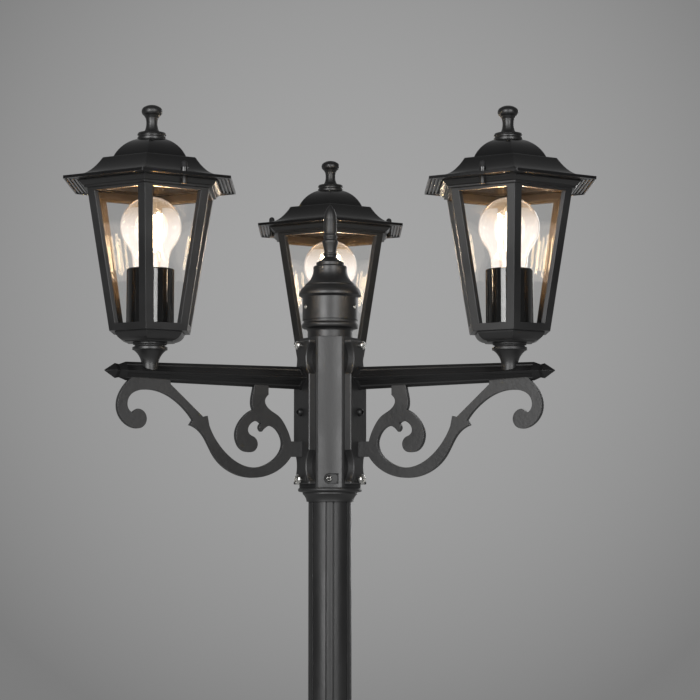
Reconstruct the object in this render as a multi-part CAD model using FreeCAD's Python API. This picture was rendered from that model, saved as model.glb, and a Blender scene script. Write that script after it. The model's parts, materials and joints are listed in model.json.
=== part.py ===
import FreeCAD
import Part
import math
import os

# Garden lamp post with three lanterns. Millimetres, +Z up, origin on the ground under the post's axis.
# The hub, arms and lanterns are drawn with z = 0 at the centre line of the arms and lifted by ARM_HEIGHT.
Vector = FreeCAD.Vector
UP = Vector(0, 0, 1)
ORIGIN = Vector(0, 0, 0)

# Layout
ARM_HEIGHT = 1733.0
ARM_SIDES = ("rear", "left", "right")
REAR_ANGLE = 90.0
LANTERN_REACH = 205.0
SIDES = 6
FIT = 0.2
SCREW_FIT = 0.2
OVERSHOOT = 1.0

# Post tube
POST_RADIUS = 22.3
POST_WALL = 3.0
POST_IN_HUB = 52.0
BAND_COUNT = 6
BAND_ANGLE = 19.0
GROOVE_WIDTH = 1.6
GROOVE_DEPTH = 1.2

# Base on the ground
BASE_RADIUS = 110.0
BASE_FLANGE = 9.0
BASE_HEIGHT = 72.0
BASE_FLOOR = 10.0
BASE_RIM = 2.0
SOCKET_WALL = 9.0
CABLE_HOLE_RADIUS = 13.0
ANCHOR_CIRCLE_RADIUS = 90.0
ANCHOR_HOLE_RADIUS = 4.75
SET_SCREW_RADIUS = 3.0
SET_SCREW_DROP = 7.0

# Post collar under the hub
COLLAR_HEIGHT = 14.0
COLLAR_RADIUS = 33.1
COLLAR_STEP_RADIUS = 28.3
COLLAR_FOOT_RADIUS = 24.2

# Hub column
HUB_TOP = 42.4
HUB_HEIGHT = 155.0
ARM_FACE = 26.6
BETWEEN_FACE = 29.5
CORNER_BEVEL = 0.9
FACE_HOLLOW_RADIUS = 60.0
FACE_HOLLOW_HALF = 11.6
RECESS_HEIGHT = 10.2
RECESS_LENGTH = 14.6
RECESS_LEFT = 6.0
RECESS_DEPTH = 3.4
RECESS_RISE = 9.3
WIRE_HOLE_RADIUS = 4.0

# Hub neck, cap and spear
NECK_RADIUS = 23.4
NECK_HEIGHT = 7.3
NECK_RING_RADIUS = 29.7
NECK_RING_HEIGHT = 11.7
NECK_SPIGOT = 18.0
NECK_WALL = 5.0
CAP_SPIGOT = 20.0
DRUM_RADIUS = 28.8
DRUM_HEIGHT = 25.4
CAP_WALL = 3.0
ROLL_RADIUS = 32.5
ROLL_HEIGHT = 10.3
BELL_FOOT_RADIUS = 26.8
BELL_HEIGHT = 18.8
BELL_TOP_RADIUS = 17.6
CAP_TOP_STEP = 2.1
SPEAR_HEIGHT = 65.1
SPEAR_FLANGE_RADIUS = 14.5
SPEAR_BLADE_RADIUS = 7.0
SPEAR_VASE_RADIUS = 8.4
SPEAR_STUD_RADIUS = 4.0
SPEAR_STUD = 9.0
BRIDGE = 4.0
TERMINAL_SIZE = (26.0, 16.0, 13.0)
TERMINAL_WELL_RADIUS = 2.2

# Arm plate, on the hub's arm face
PLATE_THICKNESS = 7.6
PLATE_HALF_WIDTH = 16.4
PLATE_HEIGHT = 147.4
WAIST_DEPTH = 6.6
PLATE_END = 2.4
PLATE_MIDDLE = 77.8
PLATE_BEVEL = 0.8
PLATE_SCREW_INSET = 8.6

# Arm
ARM_HUB_HALF = 11.7
ARM_END_HALF = 9.2
ARM_COLLAR_HALF = 12.5
ARM_COLLAR = 3.5
ARM_TIP_OVERHANG = 48.3
ARM_TIP = 22.3
TIP_NECK_HALF = 6.5
TIP_NECK = 15.0
TIP_HEAD_HALF = 7.4
TIP_HEAD = 10.8
TIP_POINT_HALF = 0.5
FLUTE_DEPTH = 0.8
FLUTE_SHARE = 0.24

# Scroll bracket
SCROLL_OVERHANG = 35.2
SCROLL_DROP = 103.4
SCROLL_THICKNESS = 5.0

# Screws
UPPER_SCREW_HEAD = (4.3, 2.0)
LOWER_SCREW_HEAD = (5.4, 3.0)
PLATE_SCREW_SHANK = 2.0
PLATE_SCREW_DEPTH = 3.3
UPPER_SCREW_PROUD = 4.5
LOWER_SCREW_PROUD = 3.0
ARM_BOLT_HEAD = (4.0, 4.6)
ARM_BOLT_SHANK = 2.8
HUB_SCREW_HEAD = (3.2, 1.5)
HUB_SCREW_SHANK = 1.8
CAP_SCREW_HEAD = (2.2, 1.1)
CAP_SCREW_SHANK = 1.3
CROSS_SHARE = 0.32
SOCKET_SHARE = 0.5

# Lantern heights, from the arm's centre line up
FOOT_TOP = 28.9
BOWL_HEIGHT = 9.9
CAGE_HEIGHT = 138.7
CORNICE_HEIGHT = 7.5

# Lantern foot
FOOT_RADIUS = 17.4
FOOT_GROOVE_RADIUS = 15.0
FOOT_WAIST_RADIUS = 8.3

# Lantern bowl and cage, radii to the hexagon's corners
BOWL_TOP_RADIUS = 37.8
BOWL_FOOT_RADIUS = 27.5
BOWL_WALL = 2.5
CAGE_FOOT_RADIUS = 43.8
CAGE_HEAD_RADIUS = 68.6
FRAME_WALL = 3.6
BAR_WIDTH = 8.0
SILL_HEIGHT = 7.0
HEAD_RAIL = 2.6
CAGE_FLOOR = 3.0
CORNICE_RADIUS = 78.0
CORNICE_FILLET_RADIUS = 72.0
PANE_THICKNESS = 2.0
PANE_GAP = 0.6

# Roof, half widths across its flats
BRIM_HALF = 81.4
BRIM_FASCIA = 2.9
BRIM_DROP = 0.3
BRIM_LIP = 1.6
SKIRT_HEIGHT = 21.8
LEDGE_HALF = 45.7
DOME_HALF = 35.8
DOME_HEIGHT = 21.4
DOME_TOP_HALF = 14.6
ROOF_WALL = 2.2
SEAT_HALF = 57.2
SEAT_WIDTH = 3.2
SEAT_GAP = 1.2
SEAT_CLEAR = 14.0
SOFFIT_RIBS = 3
SOFFIT_RIB_HEIGHT = 1.1

# Roof knobs
KNOB_OFFSET = 3.7
KNOB_HALF = 67.2
KNOB_RADIUS = 3.1
KNOB_HEIGHT = 6.6
KNOB_SHANK = 1.3
KNOB_BOSS_RADIUS = 3.5
LUG_RADIUS = 2.6

# Roof finial
FINIAL_HEIGHT = 35.6
FINIAL_BASE_RADIUS = 14.4
FINIAL_NECK_RADIUS = 5.6
FINIAL_BALL_RADIUS = 10.4
FINIAL_STUD_RADIUS = 3.0
FINIAL_STUD = 6.0

# Stem, nut, lamp holder and bulb
STEM_RADIUS = 5.0
STEM_BORE = 3.4
STEM_IN_HOLDER = 7.0
NUT_HALF = 7.0
NUT_HEIGHT = 4.5
HOLDER_RADIUS = 23.2
HOLDER_HEIGHT = 55.7
HOLDER_MOUTH_RADIUS = 19.2
HOLDER_MOUTH = 6.0
HOLDER_EDGE = 1.4
BULB_RADIUS = 30.0
BULB_HEIGHT = 78.3
BULB_NECK_RADIUS = 17.8
BULB_SHOULDER = 38.0
BULB_SEAL = 5.0
BULB_WALL = 1.0
CAP_RADIUS = 13.4
CAP_LENGTH = 27.0
CAP_TIP = 2.4
FILAMENT_COUNT = 4
FILAMENT_RADIUS = 1.1
FILAMENT_CIRCLE = 8.0
FILAMENT_LENGTH = 38.0
FILAMENT_RISE = 24.0
MOUNT_ROD_RADIUS = 2.0
MOUNT_FLARE_RADIUS = 9.0
LEAD_RADIUS = 0.5

# Levels and faces that follow from the sizes above
SECTOR = 360 / SIDES
TO_FLAT = math.cos(math.radians(SECTOR / 2))
ARM_ANGLES = {side: REAR_ANGLE + 2 * SECTOR * turn for turn, side in enumerate(ARM_SIDES)}
FACE_ANGLES = [angle - SECTOR for angle in ARM_ANGLES.values()]
HUB_FOOT = HUB_TOP - HUB_HEIGHT
HUB_MIDDLE = HUB_TOP - HUB_HEIGHT / 2
HUB_BORE = POST_RADIUS + FIT
PLATE_FACE = ARM_FACE + PLATE_THICKNESS
ARM_END = LANTERN_REACH + ARM_TIP_OVERHANG
SCROLL_LENGTH = LANTERN_REACH + SCROLL_OVERHANG - PLATE_FACE
NECK_TOP = HUB_TOP + NECK_HEIGHT + NECK_RING_HEIGHT
DRUM_TOP = NECK_TOP + DRUM_HEIGHT
CAP_TOP = DRUM_TOP + ROLL_HEIGHT + BELL_HEIGHT + CAP_TOP_STEP
CAGE_FOOT = FOOT_TOP + BOWL_HEIGHT
CORNICE_FOOT = CAGE_FOOT + CAGE_HEIGHT
CORNICE_TOP = CORNICE_FOOT + CORNICE_HEIGHT
FLOOR_TOP = CAGE_FOOT + CAGE_FLOOR
HOLDER_FOOT = FLOOR_TOP + NUT_HEIGHT
HOLDER_TOP = HOLDER_FOOT + HOLDER_HEIGHT
BULB_FOOT = HOLDER_TOP - HOLDER_MOUTH
BRIM_FOOT = CORNICE_TOP - BRIM_DROP
BRIM_TOP = BRIM_FOOT + BRIM_FASCIA
LEDGE = BRIM_TOP + SKIRT_HEIGHT
ROOF_TOP = LEDGE + DOME_HEIGHT
STEM_HOLE = STEM_RADIUS + FIT
RECESS_MIDDLE = HUB_FOOT + RECESS_RISE


def outline(start, *steps):
    """Closed face in the XZ plane. A step of one (x, z) pair is a line to it, a list of two pairs is an
    arc through the first, and a longer list is a smooth curve through them all."""
    first = here = Vector(start[0], 0, start[1])
    edges = []
    for step in steps:
        pairs = step if isinstance(step, list) else [step]
        stops = [Vector(x, 0, z) for x, z in pairs]
        if len(stops) == 1:
            edges.append(Part.makeLine(here, stops[0]))
        elif len(stops) == 2:
            edges.append(Part.Arc(here, *stops).toShape())
        else:
            curve = Part.BSplineCurve()
            curve.interpolate([here] + stops)
            edges.append(curve.toShape())
        here = stops[-1]
    edges.append(Part.makeLine(here, first))
    return Part.Face(Part.Wire(edges))


def turned(start, *steps):
    """Outline of (radius, height) pairs turned about the axis."""
    return outline(start, *steps).revolve(ORIGIN, UP, 360)


def climb(foot, height):
    """Function from a share of the height to a level above the foot."""
    return lambda share: foot + share * height


def spun(shape, angle):
    """Copy of the shape turned about the axis."""
    copy = shape.copy()
    copy.rotate(ORIGIN, UP, angle)
    return copy


def moved(shape, x, y, z):
    """Copy of the shape moved."""
    copy = shape.copy()
    copy.translate(Vector(x, y, z))
    return copy


def radial(shape, distance, across, height):
    """Shape drawn along +Z, laid along +X at a distance from the axis."""
    copy = shape.copy()
    copy.rotate(ORIGIN, Vector(0, 1, 0), 90)
    copy.translate(Vector(distance, across, height))
    return copy


def rod(radius, foot, top):
    """Upright cylinder on the axis between two heights."""
    return Part.makeCylinder(radius, top - foot, Vector(0, 0, foot))


def sector(face, gap=0.0):
    """One sixth of a hexagonal form: the (half width, height) face swept along the flat and cut by the two
    mitre planes, less a gap to each of them."""
    box = face.BoundBox
    far = 2 * box.XMax
    slope = math.tan(math.radians(SECTOR / 2))
    half = far * slope
    slab = moved(face, 0, -half, 0).extrude(Vector(0, 2 * half, 0))
    apex = gap / math.sin(math.radians(SECTOR / 2))
    reach = (far - apex) * slope
    corners = [(apex, 0), (far, -reach), (far, reach), (apex, 0)]
    wire = Part.makePolygon([Vector(x, y, box.ZMin - OVERSHOOT) for x, y in corners])
    wedge = Part.Face(wire).extrude(Vector(0, 0, box.ZLength + 2 * OVERSHOOT))
    return slab.common(wedge)


def six(shape):
    """The shape once for each flat of a hexagon that has a corner on +X."""
    return [spun(shape, (side + 0.5) * SECTOR) for side in range(SIDES)]


def hexagonal(face):
    """Mitred hexagonal solid with the face as its section, half width across the flats by height."""
    first, *rest = six(sector(face))
    return first.fuse(rest).removeSplitter()


def column(faces, foot, top):
    """Upright prism bounded by flat faces, given as (angle, distance from the axis) in turning order."""
    corners = []
    for (a, d), (b, e) in zip(faces, faces[1:] + faces[:1]):
        a, b = math.radians(a), math.radians(b)
        span = math.sin(b - a)
        x = (d * math.sin(b) - e * math.sin(a)) / span
        y = (e * math.cos(a) - d * math.cos(b)) / span
        corners.append(Vector(x, y, foot))
    return Part.Face(Part.makePolygon(corners + corners[:1])).extrude(Vector(0, 0, top - foot))


def hex_bar(half, foot, top):
    """Upright hexagonal bar between two heights, given half its width across the flats."""
    return column([(SECTOR * side, half) for side in range(SIDES)], foot, top)


def screw(head, shank, length, socket=False):
    """Pan-head screw along +Z, its head (radius, height) standing on z = 0, with a cross recess or a hexagon
    socket."""
    radius, height = head
    floor = 0.45 * height
    solid = turned((0, -length), (shank, -length), (shank, 0), (radius, 0), (radius, 0.4 * height),
                   [(0.8 * radius, 0.85 * height), (0, height)])
    if socket:
        return solid.cut(hex_bar(SOCKET_SHARE * radius, floor, floor + height))
    width = 2 * CROSS_SHARE * radius
    reach = 1.2 * radius
    bar = Part.makeBox(reach, width, height, Vector(-reach / 2, -width / 2, floor))
    return solid.cut([bar, spun(bar, 90)])


def post_tube():
    """Extruded tube whose raised bands lie between pairs of grooves."""
    foot = BASE_FLOOR
    top = ARM_HEIGHT + HUB_FOOT + POST_IN_HUB
    tube = rod(POST_RADIUS, foot, top).cut(rod(POST_RADIUS - POST_WALL, foot, top))
    groove = Part.makeBox(2 * GROOVE_DEPTH, GROOVE_WIDTH, top - foot,
                          Vector(POST_RADIUS - GROOVE_DEPTH, -GROOVE_WIDTH / 2, foot))
    bands = [(band + 0.5) * 360 / BAND_COUNT for band in range(BAND_COUNT)]
    tube = tube.cut([spun(groove, band + side * BAND_ANGLE / 2) for band in bands for side in (-1, 1)])
    hole = radial(rod(HUB_SCREW_SHANK + SCREW_FIT, 0, POST_RADIUS), POST_WALL, recess_axis(),
                  ARM_HEIGHT + RECESS_MIDDLE)
    return tube.cut([spun(hole, angle) for angle in FACE_ANGLES])


def post_base():
    """Cast foot: flange with anchor holes, swept up to the socket that grips the tube."""
    socket = POST_RADIUS + FIT + SOCKET_WALL
    shelf = ANCHOR_CIRCLE_RADIUS - 3 * ANCHOR_HOLE_RADIUS
    up = climb(BASE_FLANGE, BASE_HEIGHT - BASE_FLANGE)
    foot = turned((CABLE_HOLE_RADIUS, 0), (BASE_RADIUS, 0), (BASE_RADIUS, BASE_FLANGE - BASE_RIM),
                  (BASE_RADIUS - BASE_RIM, BASE_FLANGE), (shelf, BASE_FLANGE),
                  [(0.62 * socket + 0.38 * shelf, up(0.2)), (socket, up(0.74))],
                  (socket + BASE_RIM, up(0.77)), (socket + BASE_RIM, up(0.97)), (socket, up(1)),
                  (POST_RADIUS + FIT, up(1)), (POST_RADIUS + FIT, BASE_FLOOR),
                  (CABLE_HOLE_RADIUS, BASE_FLOOR))
    anchor = moved(rod(ANCHOR_HOLE_RADIUS, 0, BASE_FLANGE), ANCHOR_CIRCLE_RADIUS, 0, 0)
    foot = foot.cut([spun(anchor, angle) for angle in FACE_ANGLES])
    hole = radial(rod(SET_SCREW_RADIUS + SCREW_FIT, 0, 2 * SOCKET_WALL), POST_RADIUS - FIT, 0,
                  BASE_HEIGHT - SET_SCREW_DROP)
    return foot.cut([spun(hole, angle) for angle in FACE_ANGLES])


def base_set_screws():
    """Grub screws through the socket, bearing on the tube."""
    length = SOCKET_WALL + BASE_RIM
    grub = turned((0, 0), (SET_SCREW_RADIUS, 0), (SET_SCREW_RADIUS, 0.94 * length),
                  (0.8 * SET_SCREW_RADIUS, length), (0, length))
    key = hex_bar(SOCKET_SHARE * SET_SCREW_RADIUS, 0.7 * length, 1.1 * length)
    placed = radial(grub.cut(key), POST_RADIUS + FIT / 2, 0, BASE_HEIGHT - SET_SCREW_DROP)
    return Part.makeCompound([spun(placed, angle) for angle in FACE_ANGLES])


def post_collar():
    """Turned collar on the tube, stepped in below its rim."""
    up = climb(HUB_FOOT - COLLAR_HEIGHT, COLLAR_HEIGHT)
    bore, rim = POST_RADIUS + FIT, 0.97 * COLLAR_RADIUS
    cove = 0.8 * COLLAR_FOOT_RADIUS + 0.2 * COLLAR_STEP_RADIUS
    return turned((bore, up(0)), (bore, up(1)), (rim, up(1)), [(COLLAR_RADIUS, up(0.87)), (rim, up(0.74))],
                  (COLLAR_STEP_RADIUS, up(0.68)), (COLLAR_STEP_RADIUS, up(0.57)),
                  [(cove, up(0.25)), (COLLAR_FOOT_RADIUS, up(0))])


def recess_axis():
    """Distance of the hub screw from the middle of its face: the centre of the recess's round end."""
    return RECESS_HEIGHT / 2 - RECESS_LEFT


def hub_core():
    """Column with three flat arm faces, three slightly hollow faces between them and a bore for the tube."""
    tangent = (ARM_FACE - BETWEEN_FACE / 2) / TO_FLAT
    bevel = math.hypot(BETWEEN_FACE, tangent) - CORNER_BEVEL
    faces = []
    for angle in FACE_ANGLES:
        faces += [(angle, BETWEEN_FACE), (angle + SECTOR / 2, bevel), (angle + SECTOR, ARM_FACE),
                  (angle + 3 * SECTOR / 2, bevel)]
    core = column(faces, HUB_FOOT, HUB_TOP).cut(rod(HUB_BORE, HUB_FOOT, HUB_TOP))
    reach = BETWEEN_FACE + math.sqrt(FACE_HOLLOW_RADIUS ** 2 - FACE_HOLLOW_HALF ** 2)
    hollow = moved(rod(FACE_HOLLOW_RADIUS, HUB_FOOT, HUB_TOP), reach, 0, 0)
    half = RECESS_HEIGHT / 2
    floor = BETWEEN_FACE - RECESS_DEPTH
    flat = Part.makeBox(2 * RECESS_DEPTH, RECESS_LENGTH - half, RECESS_HEIGHT,
                        Vector(floor, recess_axis(), RECESS_MIDDLE - half))
    round_end = radial(rod(half, 0, 2 * RECESS_DEPTH), floor, recess_axis(), RECESS_MIDDLE)
    pilot = radial(rod(HUB_SCREW_SHANK + SCREW_FIT, 0, BETWEEN_FACE), 0, recess_axis(), RECESS_MIDDLE)
    for angle in FACE_ANGLES:
        core = core.cut([spun(cut, angle) for cut in (hollow, flat, round_end, pilot)])
    holes = [radial(rod(WIRE_HOLE_RADIUS, 0, 2 * ARM_FACE), 0, 0, 0)] + plate_holes()
    return core.cut([spun(hole, angle) for hole in holes for angle in ARM_ANGLES.values()])


def plate_screw_heights():
    """Heights of the upper screw, the arm bolt and the lower screw of an arm plate."""
    reach = HUB_HEIGHT / 2 - PLATE_SCREW_INSET
    return HUB_MIDDLE + reach, HUB_MIDDLE, HUB_MIDDLE - reach


def plate_holes():
    """Clearance cylinders of an arm plate's two screws and its bolt, along +X."""
    upper, middle, lower = plate_screw_heights()
    start = ARM_FACE - PLATE_SCREW_DEPTH - SCREW_FIT
    small = rod(PLATE_SCREW_SHANK + SCREW_FIT, start, PLATE_FACE)
    large = rod(ARM_BOLT_SHANK + SCREW_FIT, start, PLATE_FACE)
    return [radial(small, 0, 0, upper), radial(large, 0, 0, middle), radial(small, 0, 0, lower)]


def hub_neck():
    """Turned neck: spigot into the column, rolled ring, spigot for the cap and a bridge inside."""
    ring, top, foot = HUB_TOP + NECK_HEIGHT, NECK_TOP, HUB_TOP - NECK_SPIGOT
    up = climb(ring, NECK_RING_HEIGHT)
    outer = HUB_BORE - FIT
    inner = outer - NECK_WALL
    spigot, groove, roll = DRUM_RADIUS - CAP_WALL - FIT, 0.96 * DRUM_RADIUS, 0.965 * NECK_RING_RADIUS
    cove = [(0.7 * NECK_RADIUS + 0.3 * roll, up(0.2)), (roll, up(0.29))]
    neck = turned((inner, foot), (outer, foot), (outer, HUB_TOP), (NECK_RADIUS, HUB_TOP),
                  (NECK_RADIUS, ring), cove, [(NECK_RING_RADIUS, up(0.5)), (roll, up(0.7))],
                  (groove, up(0.77)), (groove, top), (spigot, top), (spigot, top + CAP_SPIGOT),
                  (inner, top + CAP_SPIGOT))
    bridge = rod(inner + NECK_WALL / 2, ring, ring + BRIDGE)
    aside = (inner + TERMINAL_SIZE[1] / 2) / 2
    wires = [moved(rod(0.9 * (inner - aside), ring, ring + BRIDGE), 0, side * aside, 0) for side in (-1, 1)]
    hole = radial(rod(CAP_SCREW_SHANK + SCREW_FIT, 0, DRUM_RADIUS), 0, 0, cap_screw_height())
    solid = neck.fuse(bridge.cut(wires)).removeSplitter()
    return solid.cut([spun(hole, angle) for angle in ARM_ANGLES.values()])


def terminal_block():
    """Three-way terminal block standing on the bridge, with wire entries and screw wells."""
    length, width, height = TERMINAL_SIZE
    up = climb(HUB_TOP + NECK_HEIGHT + BRIDGE, height)
    block = Part.makeBox(length, width, height, Vector(-length / 2, -width / 2, up(0)))
    cuts = []
    for way in (-1, 0, 1):
        x = way * length / 3
        start = Vector(x, -width / 2, up(0.33))
        cuts.append(moved(rod(TERMINAL_WELL_RADIUS, up(0.4), up(1)), x, 0, 0))
        cuts.append(Part.makeCylinder(0.8 * TERMINAL_WELL_RADIUS, width, start, Vector(0, 1, 0)))
    return block.cut(cuts)


def cap_screw_height():
    """Height of the three screws through the cap's drum."""
    return NECK_TOP + DRUM_HEIGHT / 2


def hub_cap():
    """Drum under a moulded rim, a narrow band and a hollow bell, in one shell open below."""
    roll, bell = climb(DRUM_TOP, ROLL_HEIGHT), climb(DRUM_TOP + ROLL_HEIGHT, BELL_HEIGHT)
    inner, crown = DRUM_RADIUS - CAP_WALL, BELL_TOP_RADIUS - CAP_WALL
    foot, top, lip = BELL_FOOT_RADIUS, BELL_TOP_RADIUS, 0.99 * ROLL_RADIUS
    bore, edge = SPEAR_STUD_RADIUS + FIT, 0.96 * top
    moulding = [(0.66 * ROLL_RADIUS + 0.34 * foot, roll(0.65)), (foot, roll(1))]
    hollow = [(0.3 * foot + 0.7 * top, bell(0.41)), (top, bell(1))]
    cap = turned((inner, NECK_TOP), (DRUM_RADIUS, NECK_TOP), (DRUM_RADIUS, roll(-0.2)), (lip, roll(0)),
                 (ROLL_RADIUS, roll(0.03)), (ROLL_RADIUS, roll(0.24)), moulding,
                 (0.985 * foot, bell(0.085)), hollow, (top, CAP_TOP - 0.4 * CAP_TOP_STEP), (edge, CAP_TOP),
                 (bore, CAP_TOP), (bore, bell(0.8)), (crown, bell(0.8)), (crown, bell(0.4)),
                 (inner, roll(0.6)))
    hole = rod(CAP_SCREW_SHANK + SCREW_FIT, 0, 2 * CAP_WALL)
    placed = radial(hole, inner - CAP_WALL / 2, 0, cap_screw_height())
    return cap.cut([spun(placed, angle) for angle in ARM_ANGLES.values()])


def hub_spear():
    """Turned spear: flared flange, ringed vase and pointed blade, with a stud into the cap."""
    up, foot = climb(CAP_TOP, SPEAR_HEIGHT), CAP_TOP - SPEAR_STUD
    flange, wide, vase, stud = SPEAR_FLANGE_RADIUS, SPEAR_BLADE_RADIUS, SPEAR_VASE_RADIUS, SPEAR_STUD_RADIUS
    slim = 0.9 * wide
    flare = [(0.66 * flange, up(0.105)), (slim, up(0.15))]
    lower_ring = [(1.06 * wide, up(0.19)), (slim, up(0.215))]
    body = [(1.01 * wide, up(0.31)), (vase, up(0.385))]
    blade = [(wide, up(0.62)), (0.93 * wide, up(0.76))]
    point = [(0.66 * wide, up(0.905)), (0.05 * wide, up(1))]
    return turned((0, foot), (stud, foot), (stud, up(0)), (0.97 * flange, up(0)), (flange, up(0.015)),
                  (flange, up(0.06)), flare, (slim, up(0.17)), lower_ring, (slim, up(0.245)), body,
                  (vase, up(0.41)), (0.95 * wide, up(0.435)), (0.95 * wide, up(0.455)),
                  (1.04 * wide, up(0.47)), (1.04 * wide, up(0.495)), (0.82 * wide, up(0.51)),
                  (0.9 * wide, up(0.53)), blade, point, (0, up(1)))


def arm_plate():
    """Plate on the hub's face with two scallops in each side, screw holes and a passage for the wiring."""
    wide, waist = PLATE_HALF_WIDTH, PLATE_HALF_WIDTH - WAIST_DEPTH
    top, middle = PLATE_HEIGHT / 2, PLATE_MIDDLE / 2
    end = top - PLATE_END
    deepest = (end + middle) / 2
    side = [(wide, top), (wide, end), [(waist, deepest), (wide, middle)], (wide, -middle),
            [(waist, -deepest), (wide, -end)], (wide, -top)]
    face = moved(outline((0, top), *side, (0, -top)), 0, -PLATE_FACE, HUB_MIDDLE)
    half = face.extrude(Vector(0, PLATE_THICKNESS, 0))
    plate = half.fuse(half.mirror(ORIGIN, Vector(1, 0, 0))).removeSplitter()
    front = [edge for edge in plate.Edges if abs(edge.BoundBox.YMax + PLATE_FACE) < 1e-6]
    plate = spun(plate.makeChamfer(PLATE_BEVEL, front), 90)
    passage = radial(rod(WIRE_HOLE_RADIUS, 0, PLATE_THICKNESS), ARM_FACE, 0, 0)
    return plate.cut([passage] + plate_holes())


def bar_section(half, x, fluted=False):
    """Square section on its corner in the YZ plane, with a shallow flute in each side if asked for."""
    corners = [Vector(x, half, 0), Vector(x, 0, half), Vector(x, -half, 0), Vector(x, 0, -half)]
    points = []
    for here, there in zip(corners, corners[1:] + corners[:1]):
        points.append(here)
        if fluted:
            run = there - here
            inward = Vector(x, 0, 0) - (here + there) * 0.5
            floor = inward.normalize() * FLUTE_DEPTH
            points += [here + run * FLUTE_SHARE, here + run * (1.3 * FLUTE_SHARE) + floor,
                       there - run * (1.3 * FLUTE_SHARE) + floor, there - run * FLUTE_SHARE]
    return Part.makePolygon(points + points[:1])


def arm_blank():
    """Tapered square bar on its corner: chamfered collar at the plate, fluted run and pyramid tip."""
    start, shoulder = PLATE_FACE + ARM_COLLAR, ARM_END - ARM_TIP
    collar = [bar_section(ARM_COLLAR_HALF, PLATE_FACE), bar_section(ARM_HUB_HALF, start)]
    run = [bar_section(ARM_HUB_HALF, start, True), bar_section(ARM_END_HALF, shoulder, True)]
    tip = [bar_section(ARM_END_HALF, shoulder), bar_section(TIP_NECK_HALF, ARM_END - TIP_NECK),
           bar_section(TIP_HEAD_HALF, ARM_END - TIP_HEAD), bar_section(TIP_POINT_HALF, ARM_END)]
    first, *rest = [Part.makeLoft(sections, True, True) for sections in (collar, run, tip)]
    return first.fuse(rest).removeSplitter()


def arm(blank):
    """The bar with its wiring bore and the upright hole for the lantern's stem."""
    bore = radial(rod(WIRE_HOLE_RADIUS, 0, LANTERN_REACH - PLATE_FACE + STEM_RADIUS), PLATE_FACE, 0, 0)
    stem_hole = moved(rod(STEM_HOLE, 0, ARM_HUB_HALF), LANTERN_REACH, 0, 0)
    return blank.cut([bore, stem_hole])


def scroll(blank):
    """Flat scroll bracket in the arm's upright plane, notched onto the arm's lower ridge. Its points are
    shares of the scroll's length from the plate and of its drop below the arm's centre line."""

    def at(*pairs):
        return [(PLATE_FACE + s * SCROLL_LENGTH, -z * SCROLL_DROP) for s, z in pairs]

    tongue = (WIRE_HOLE_RADIUS + ARM_END_HALF - SCROLL_THICKNESS / 2) / 2 / SCROLL_DROP
    outer_curl = at((0.966, 0.143), (0.997, 0.27), (0.995, 0.39), (0.943, 0.515), (0.899, 0.542))
    upper_ball = at((0.848, 0.446), (0.893, 0.354))
    ball_notch = at((0.908, 0.37), (0.924, 0.394))
    inner_arch = at((0.948, 0.33), (0.94, 0.245), (0.845, 0.169), (0.714, 0.242), (0.603, 0.447))
    lower_thorn = at((0.619, 0.496))[0]
    lower_limb = at((0.555, 0.572), (0.484, 0.796), (0.347, 0.977), (0.2, 0.974), (0.063, 0.783))
    tab_foot, tab_end, tab_root = at((0.0, 0.783), (0.0, 0.631), (0.063, 0.631))
    right_edge = at((0.095, 0.48), (0.137, 0.38), (0.186, 0.32), (0.209, 0.26), (0.191, 0.178))
    neck_right, neck_left = at((0.191, tongue), (0.268, tongue))
    neck_side = at((0.279, 0.187), (0.283, 0.258), (0.275, 0.329))
    inner_scroll = at((0.341, 0.433), (0.37, 0.589), (0.341, 0.715), (0.3, 0.744))
    lower_ball = at((0.252, 0.642), (0.279, 0.588))
    hook_mouth = at((0.304, 0.518), (0.27, 0.443), (0.231, 0.464))
    hook_thorn = at((0.239, 0.521), (0.227, 0.543))
    inner_turn = at((0.169, 0.486), (0.111, 0.639), (0.193, 0.858), (0.299, 0.89), (0.42, 0.766),
                    (0.515, 0.499))
    upper_edge = at((0.525, 0.403), (0.548, 0.416), (0.724, 0.11), (0.724, tongue))
    face = outline(at((0.925, tongue))[0], outer_curl, upper_ball, ball_notch, inner_arch, lower_thorn,
                   lower_limb, tab_foot, tab_end, tab_root, right_edge, neck_right, neck_left, neck_side,
                   inner_scroll, lower_ball, hook_mouth, hook_thorn, inner_turn, *upper_edge)
    plate = moved(face, 0, -SCROLL_THICKNESS / 2, 0).extrude(Vector(0, SCROLL_THICKNESS, 0))
    return plate.cut(blank)


def plate_screws():
    """Six pan-head screws of the arm plates, each standing proud on its shank, the upper ones further."""
    upper, _, lower = plate_screw_heights()
    deep = PLATE_THICKNESS + PLATE_SCREW_DEPTH
    rows = ((UPPER_SCREW_HEAD, UPPER_SCREW_PROUD, upper), (LOWER_SCREW_HEAD, LOWER_SCREW_PROUD, lower))
    placed = [radial(screw(head, PLATE_SCREW_SHANK, deep + proud), PLATE_FACE + proud, 0, height)
              for head, proud, height in rows]
    return Part.makeCompound([spun(one, angle) for one in placed for angle in ARM_ANGLES.values()])


def arm_bolts():
    """Black socket-head bolts in the middle of the arm plates."""
    bolt = screw(ARM_BOLT_HEAD, ARM_BOLT_SHANK, PLATE_THICKNESS + PLATE_SCREW_DEPTH, socket=True)
    placed = radial(bolt, PLATE_FACE, 0, HUB_MIDDLE)
    return Part.makeCompound([spun(placed, angle) for angle in ARM_ANGLES.values()])


def hub_screws():
    """Screws in the hub's recesses, through its wall and the tube's."""
    floor = BETWEEN_FACE - RECESS_DEPTH
    one = screw(HUB_SCREW_HEAD, HUB_SCREW_SHANK, floor - POST_RADIUS + POST_WALL)
    placed = radial(one, floor, recess_axis(), RECESS_MIDDLE)
    return Part.makeCompound([spun(placed, angle) for angle in FACE_ANGLES])


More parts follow.
